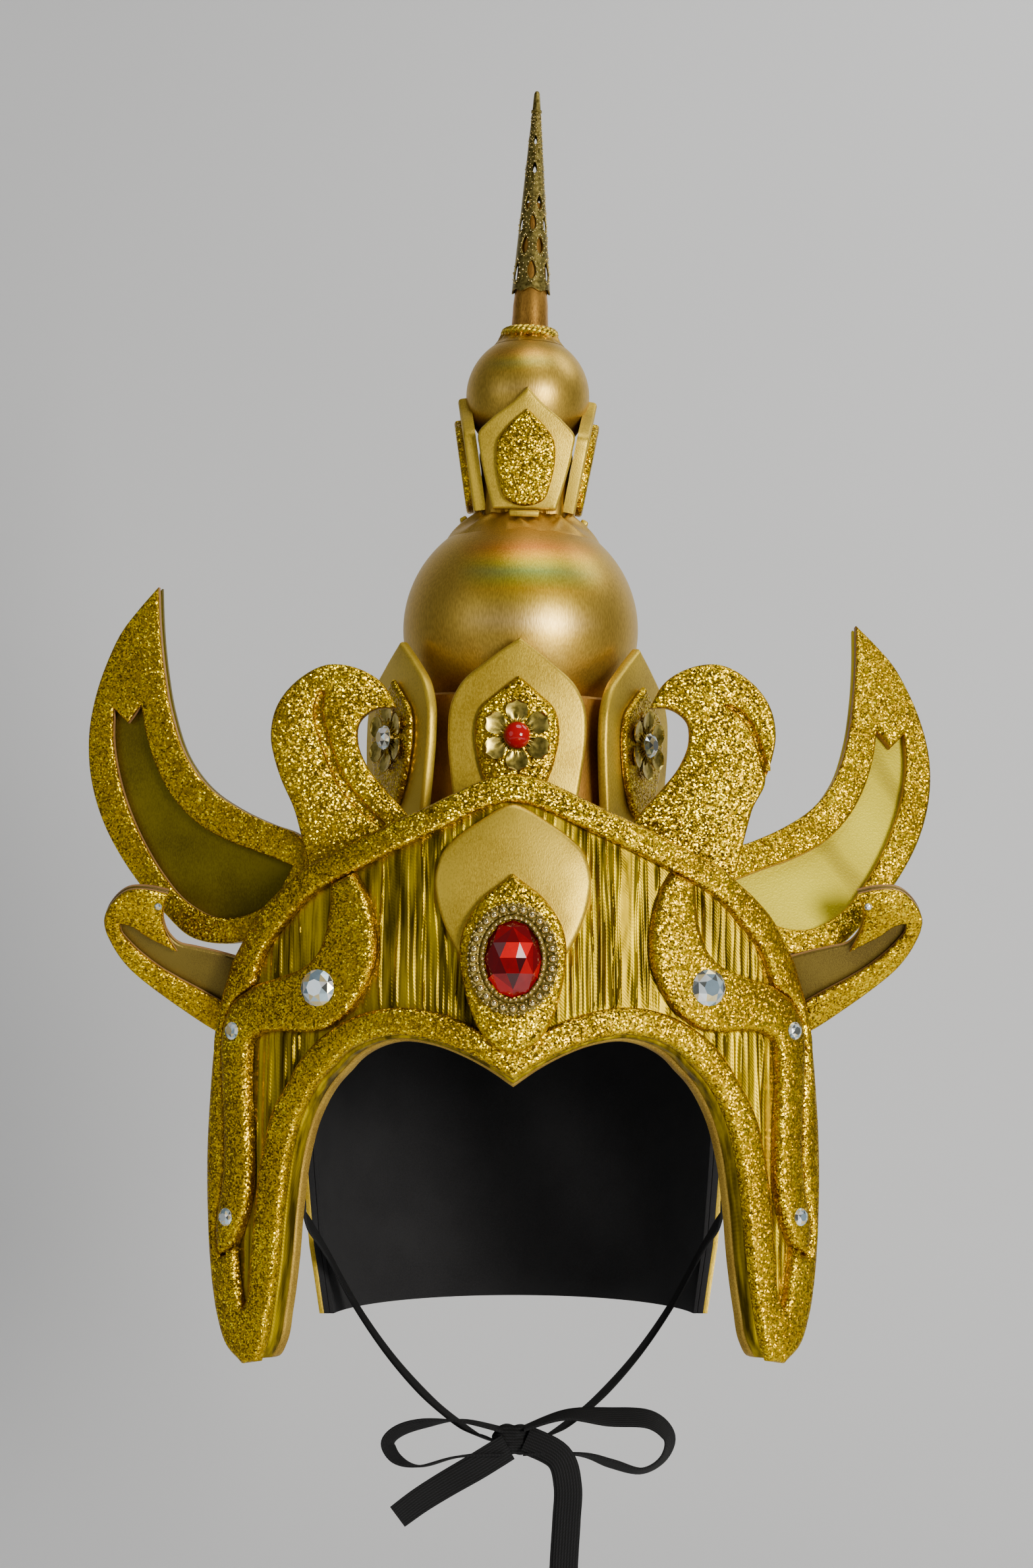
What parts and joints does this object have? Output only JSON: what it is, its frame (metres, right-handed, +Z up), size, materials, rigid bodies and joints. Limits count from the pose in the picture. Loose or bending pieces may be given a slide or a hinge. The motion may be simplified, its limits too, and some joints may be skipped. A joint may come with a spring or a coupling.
{
  "type": "stage headdress",
  "caption": "Gold stage headdress: padded cap and heart-browed visor with ear flaps, side horns and wings, petalled tower with balls, pierced spire and tied chin tape.",
  "frame": {"origin": "inside top of the cap's lining, where the top of the wearer's head sits, on the middle plane", "axes": "+Z up along the spire, -Y the way the wearer faces, +X to the right as seen from the front"},
  "size_m": [0.3444, 0.2308, 0.6231],
  "materials": {
    "glitter_foam": "gold glitter foam",
    "gold_cloth": "champagne gold brushed cloth",
    "pleated_cloth": "bright gold cloth in upright pleats",
    "woven_backing": "pale gold woven cloth over foam",
    "black_lining": "matt black",
    "brass": "stamped antique gold metal",
    "red_stone": "clear red cut stone",
    "clear_stone": "clear cut stone",
    "gold_cord": "twisted metallic cord",
    "black_tape": "black cotton twill tape"
  },
  "bodies": {
    "root": {"ball": "gold_cloth", "braid_ring": "gold_cord", "brow_stone_left": "clear_stone", "brow_stone_right": "clear_stone", "cap_lining": "black_lining", "cap_shell": "gold_cloth", "chin_bow": "black_tape", "chin_tape_left": "black_tape", "chin_tape_right": "black_tape", "collar": "gold_cloth", "crest_left": "glitter_foam", "crest_right": "glitter_foam", "crown_plate": "gold_cloth", "drum": "gold_cloth", "ear_wing_frame_left": "glitter_foam", "ear_wing_frame_right": "glitter_foam", "ear_wing_left": "gold_cloth", "ear_wing_right": "gold_cloth", "flap_stone_left": "clear_stone", "flap_stone_right": "clear_stone", "flower_1": "brass", "flower_2": "brass", "flower_3": "brass", "flower_4": "brass", "flower_5": "brass", "flower_6": "brass", "horn_frame_left": "glitter_foam", "horn_frame_right": "glitter_foam", "horn_left": "gold_cloth", "horn_right": "gold_cloth", "jewel_base": "glitter_foam", "jewel_bezel": "brass", "jewel_stone": "red_stone", "neck": "gold_cloth", "petal_1": "gold_cloth", "petal_2": "gold_cloth", "petal_3": "gold_cloth", "petal_4": "gold_cloth", "petal_5": "gold_cloth", "petal_6": "gold_cloth", "petal_inset_1": "glitter_foam", "petal_inset_2": "glitter_foam", "petal_inset_3": "glitter_foam", "petal_inset_4": "glitter_foam", "petal_inset_5": "glitter_foam", "petal_inset_6": "glitter_foam", "small_ball": "gold_cloth", "small_petal_1": "gold_cloth", "small_petal_2": "gold_cloth", "small_petal_3": "gold_cloth", "small_petal_4": "gold_cloth", "spire_sleeve": "brass", "temple_stone_left": "clear_stone", "temple_stone_right": "clear_stone", "visor_backing": "woven_backing", "visor_plate": "pleated_cloth", "visor_scroll_left": "glitter_foam", "visor_scroll_right": "glitter_foam", "visor_trim": "glitter_foam"}
  },
  "joints": []
}
